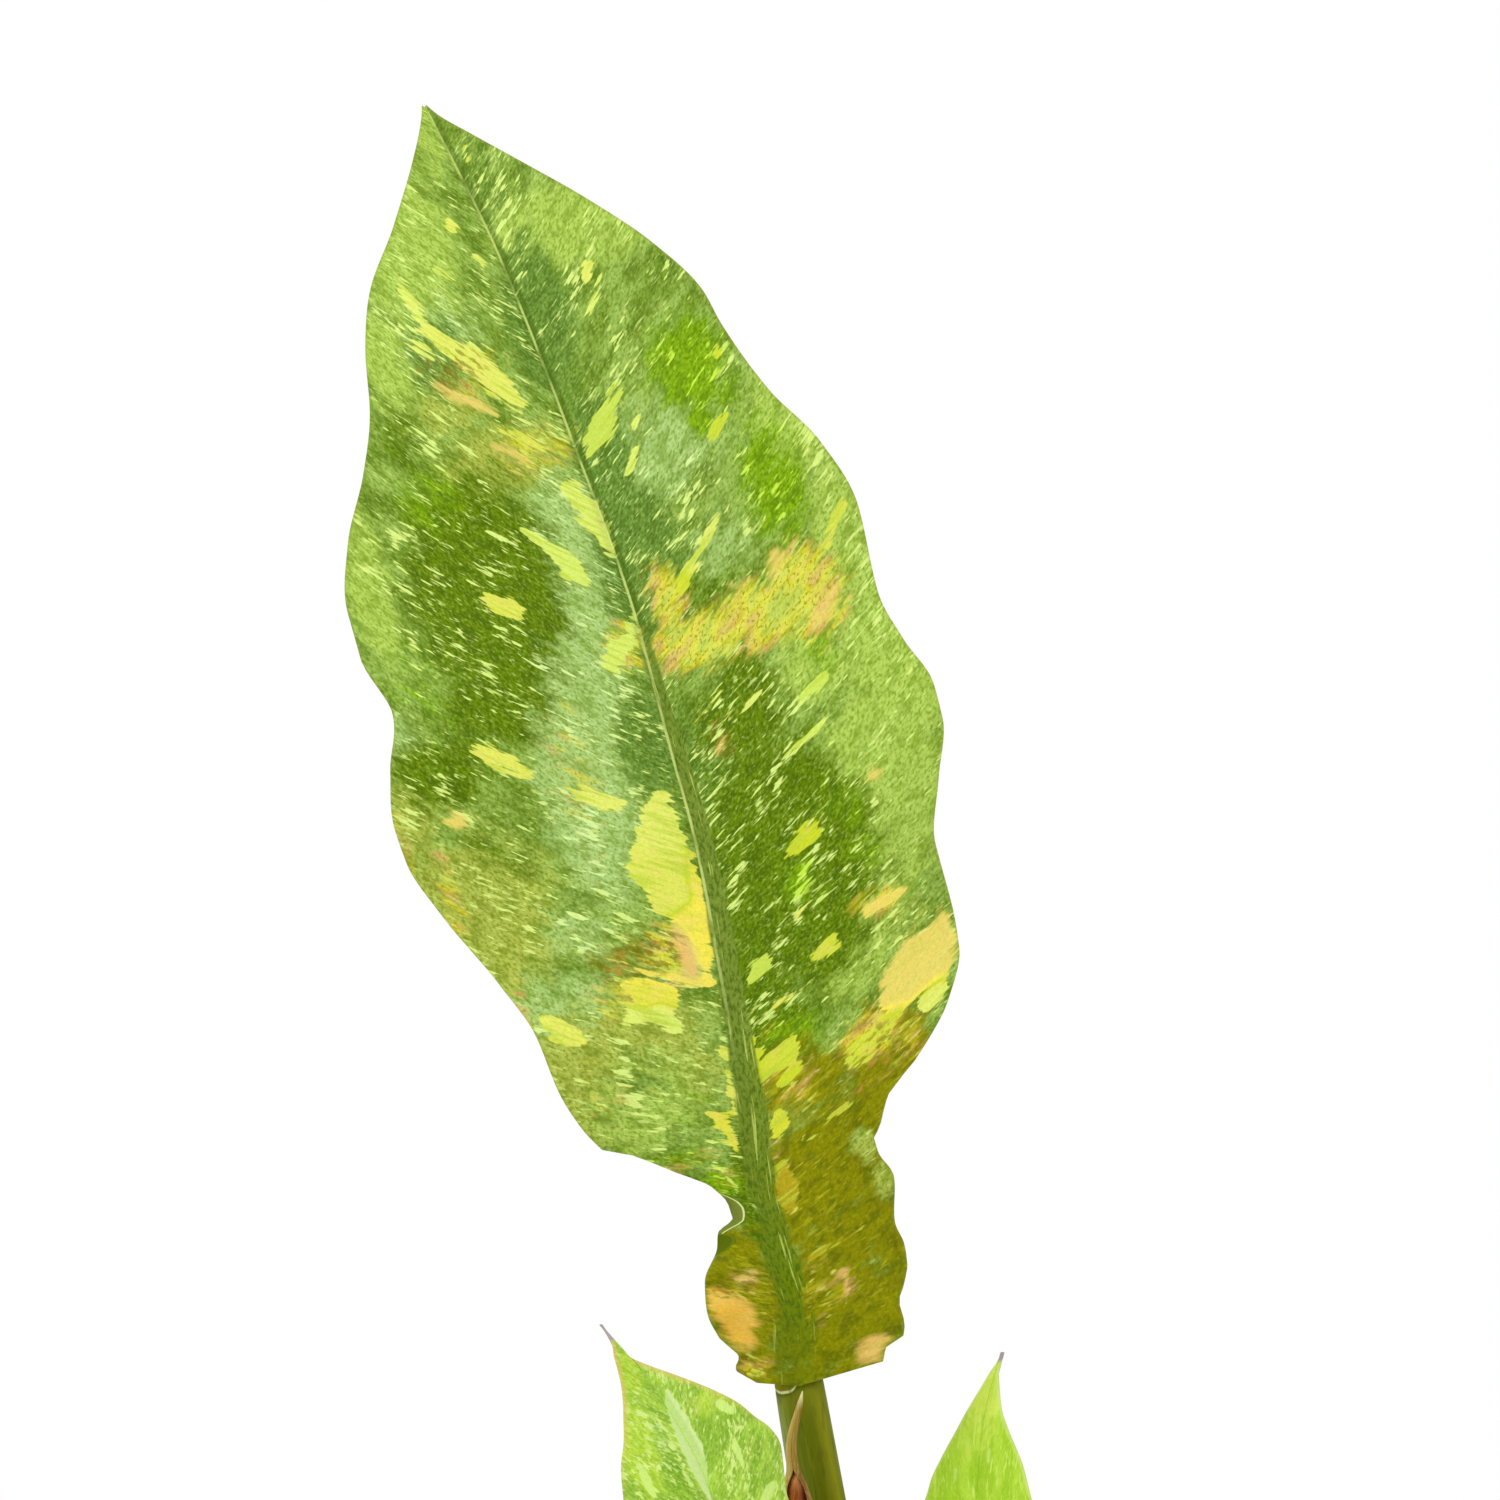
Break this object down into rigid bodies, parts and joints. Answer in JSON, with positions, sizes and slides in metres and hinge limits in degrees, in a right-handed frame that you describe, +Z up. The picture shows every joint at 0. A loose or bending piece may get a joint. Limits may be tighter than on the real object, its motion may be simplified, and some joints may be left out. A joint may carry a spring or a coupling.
{
  "type": "potted philodendron",
  "caption": "Potted philodendron: a tall wavy variegated leaf on a long stalk above smaller leaves and a rolled new leaf, in a plain tapered pot of soil.",
  "frame": {"origin": "centre of the pot's flat base, on the surface that it stands on", "axes": "+Z up the plant, -Y towards the front that the tall leaf faces, +X to the right seen from there"},
  "size_m": [0.129, 0.1094, 0.3874],
  "materials": {
    "pot_plastic": "matte",
    "potting_mix": "matte",
    "stem_skin": "satin",
    "tall_stalk_skin": "satin",
    "lower_stalk_skin": "satin",
    "tall_blade_skin": "satin",
    "left_blade_skin": "satin",
    "right_blade_skin": "satin",
    "new_leaf_skin": "satin",
    "sheath_skin": "satin"
  },
  "bodies": {
    "root": {"pot": "pot_plastic", "soil": "potting_mix", "stem": "stem_skin", "stalk_tall": "tall_stalk_skin", "stalk_left": "lower_stalk_skin", "stalk_right": "lower_stalk_skin", "leaf_tall": "tall_blade_skin", "leaf_left": "left_blade_skin", "leaf_right": "right_blade_skin", "new_leaf": "new_leaf_skin", "sheath": "sheath_skin"}
  },
  "joints": []
}
